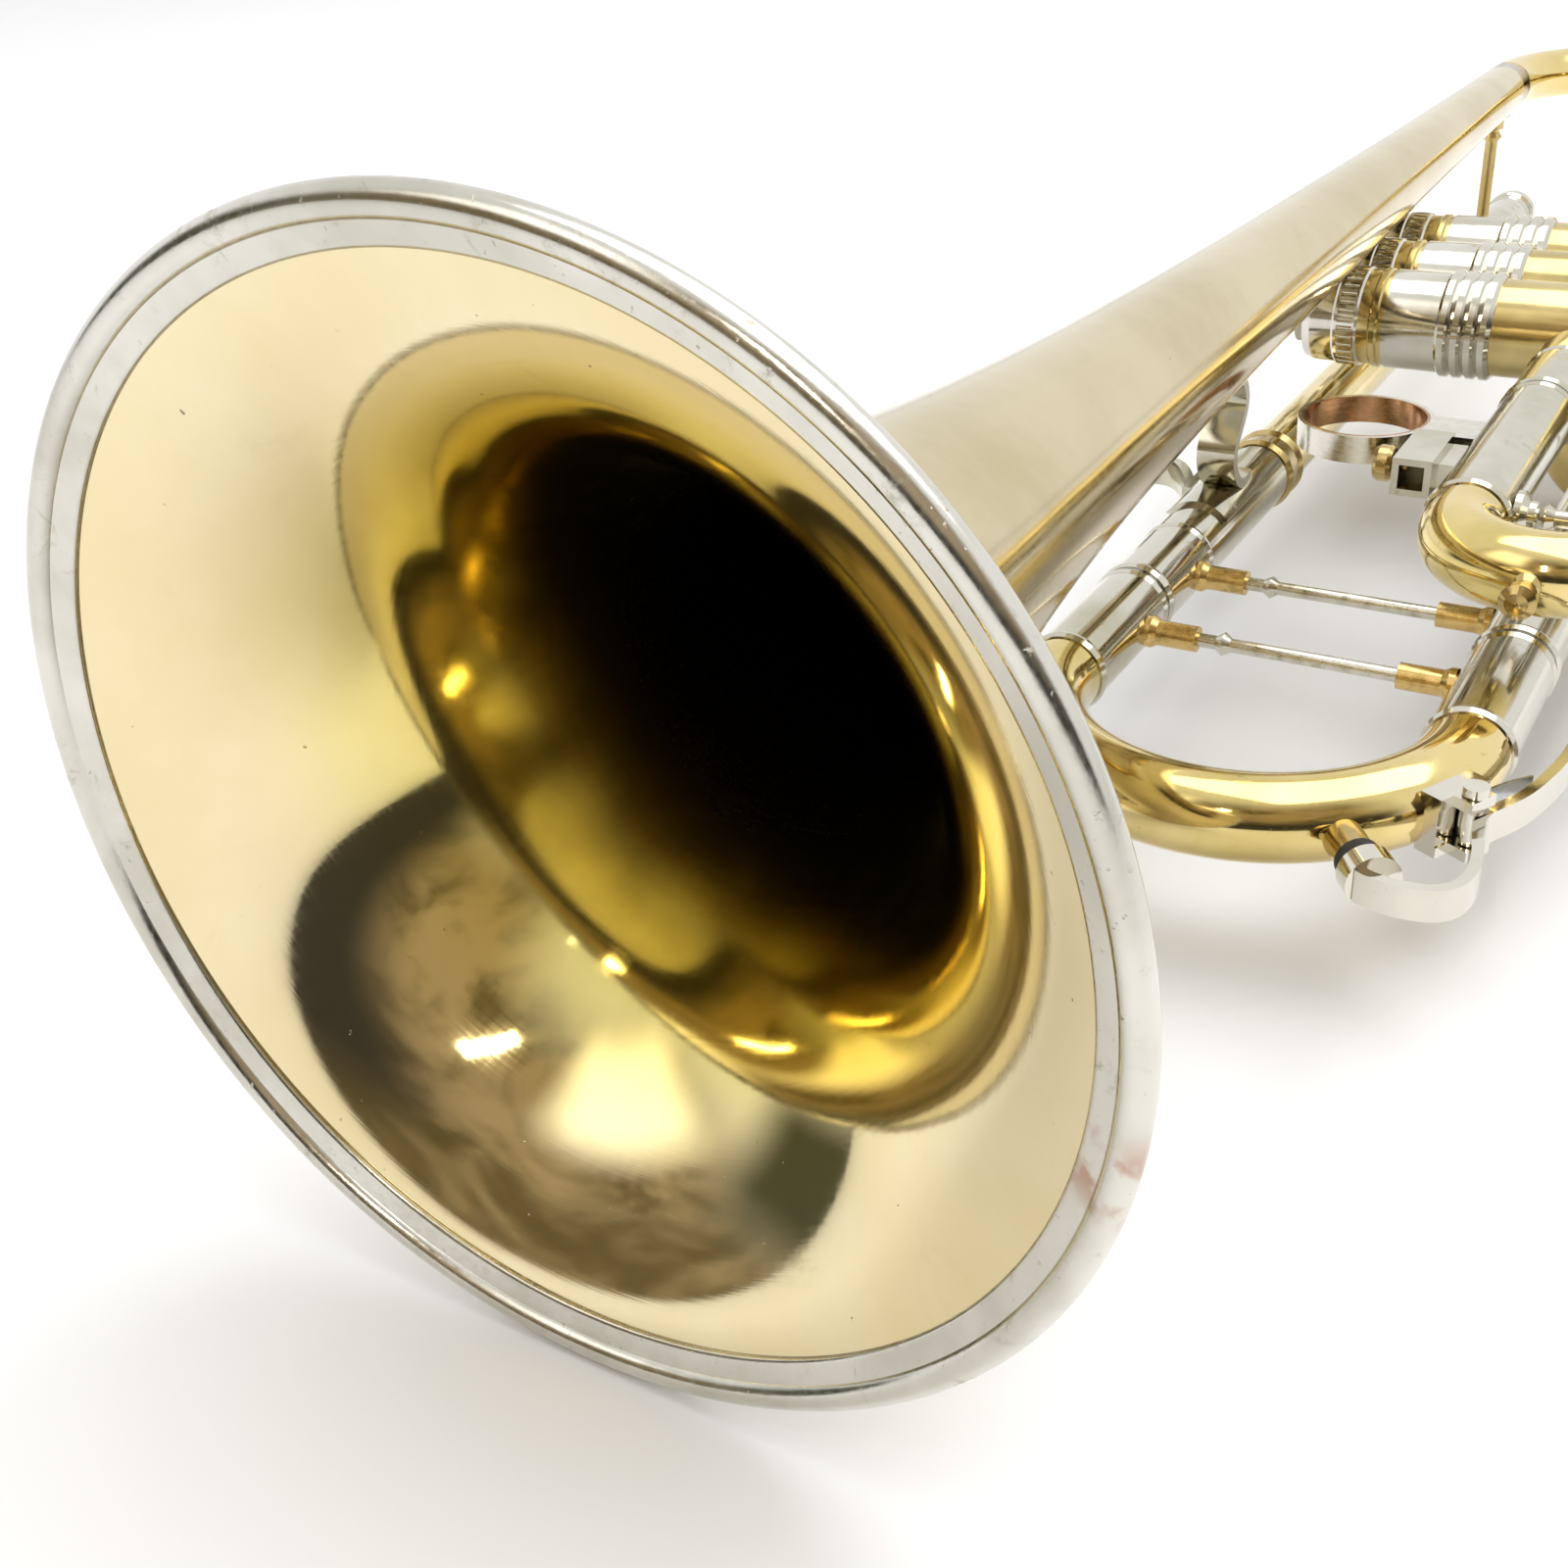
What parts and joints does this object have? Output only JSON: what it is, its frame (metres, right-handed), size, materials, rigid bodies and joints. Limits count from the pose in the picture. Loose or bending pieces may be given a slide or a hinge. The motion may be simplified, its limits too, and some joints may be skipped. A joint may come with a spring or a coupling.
{
  "type": "trumpet",
  "caption": "Brass trumpet with nickel trim, lying on its right side: flared bell, three piston valves, pull-out slides and a sprung water key.",
  "frame": {"origin": "centre of the mouth of the mouthpiece receiver", "axes": "+X along the bell axis towards the bell's rim, +Y along the valves towards the bottom caps, +Z towards the player's left, up as the instrument lies on its right side"},
  "size_m": [0.44, 0.1683, 0.123],
  "materials": {
    "lacquered_brass": "clear lacquer over polished brass, worn",
    "bell_brass": "polished brass under thin lacquer",
    "nickel": "worn nickel plate",
    "bare_brass": "unlacquered brass",
    "monel": "lapped nickel alloy",
    "spring_steel": "drawn wire",
    "pearl": "pearly inlay",
    "felt": "pressed wool felt",
    "cork": "dark cork pad"
  },
  "bodies": {
    "main_slide": {"main_slide_bow": "lacquered_brass", "main_slide_brace": "nickel", "main_slide_ferrules": "nickel", "main_slide_legs": "nickel", "water_key_nipple": "bare_brass", "water_key_pin": "nickel", "water_key_saddle": "nickel", "water_key_spring": "spring_steel"},
    "water_key": {"water_key_cork": "cork", "water_key_lever": "nickel"},
    "third_slide": {"lyre_holder": "nickel", "lyre_screw": "bare_brass", "third_slide_bow": "lacquered_brass", "third_slide_brace": "nickel", "third_slide_ferrules": "nickel", "third_slide_knob": "bare_brass", "third_slide_legs": "nickel", "third_slide_ring": "nickel"},
    "first_slide": {"first_slide_bow": "lacquered_brass", "first_slide_ferrules": "nickel", "first_slide_legs": "nickel"},
    "second_slide": {"second_slide_bow": "lacquered_brass", "second_slide_ferrules": "nickel", "second_slide_legs": "nickel"},
    "valve_1": {"pearl_1": "pearl", "piston_1": "monel", "stem_1": "lacquered_brass"},
    "valve_2": {"pearl_2": "pearl", "piston_2": "monel", "stem_2": "lacquered_brass"},
    "valve_3": {"pearl_3": "pearl", "piston_3": "monel", "stem_3": "lacquered_brass"},
    "horn": {"bell": "bell_brass", "bell_bow": "lacquered_brass", "bell_ferrule": "bare_brass", "bell_rim": "nickel", "bottom_caps": "lacquered_brass", "casing_1": "lacquered_brass", "casing_2": "lacquered_brass", "casing_3": "lacquered_brass", "casing_bands": "nickel", "felts": "felt", "first_sleeves": "nickel", "front_brace": "nickel", "leadpipe": "lacquered_brass", "leadpipe_ferrule": "bare_brass", "lower_sleeve": "nickel", "outer_slide_brace": "nickel", "pinky_hook": "nickel", "rear_brace": "bare_brass", "receiver": "nickel", "second_sleeves": "nickel", "third_sleeves": "nickel", "top_caps": "nickel", "upper_sleeve": "nickel", "valve_knuckles": "lacquered_brass", "valve_spring_1": "spring_steel", "valve_spring_2": "spring_steel", "valve_spring_3": "spring_steel"}
  },
  "joints": [
    {"name": "valve_1_press", "type": "slide", "parent": "horn", "child": "valve_1", "axis": [0, 1, 0], "range_m": [0, 0.0165], "stiffness_N_per_m": 150, "springref_m": -0.01, "deforming": ["valve_spring_1"]},
    {"name": "valve_2_press", "type": "slide", "parent": "horn", "child": "valve_2", "axis": [0, 1, 0], "range_m": [0, 0.0165], "stiffness_N_per_m": 150, "springref_m": -0.01, "deforming": ["valve_spring_2"]},
    {"name": "valve_3_press", "type": "slide", "parent": "horn", "child": "valve_3", "axis": [0, 1, 0], "range_m": [0, 0.0165], "stiffness_N_per_m": 150, "springref_m": -0.01, "deforming": ["valve_spring_3"]},
    {"name": "main_slide_pull", "type": "slide", "parent": "horn", "child": "main_slide", "axis": [1, 0, 0], "range_m": [0, 0.045]},
    {"name": "third_slide_pull", "type": "slide", "parent": "horn", "child": "third_slide", "axis": [1, 0, 0], "range_m": [0, 0.02]},
    {"name": "first_slide_pull", "type": "slide", "parent": "horn", "child": "first_slide", "axis": [-1, 0, 0], "range_m": [0, 0.02]},
    {"name": "second_slide_pull", "type": "slide", "parent": "horn", "child": "second_slide", "axis": [0, 0, -1], "range_m": [0, 0.006]},
    {"name": "water_key_hinge", "type": "hinge", "parent": "main_slide", "child": "water_key", "pos_m": [0.32749, 0.06496, 0], "axis": [0, 0, 1], "range_deg": [0, 8], "stiffness_Nm_per_rad": 0.02, "springref_deg": -28.65, "deforming": ["water_key_spring"]}
  ]
}
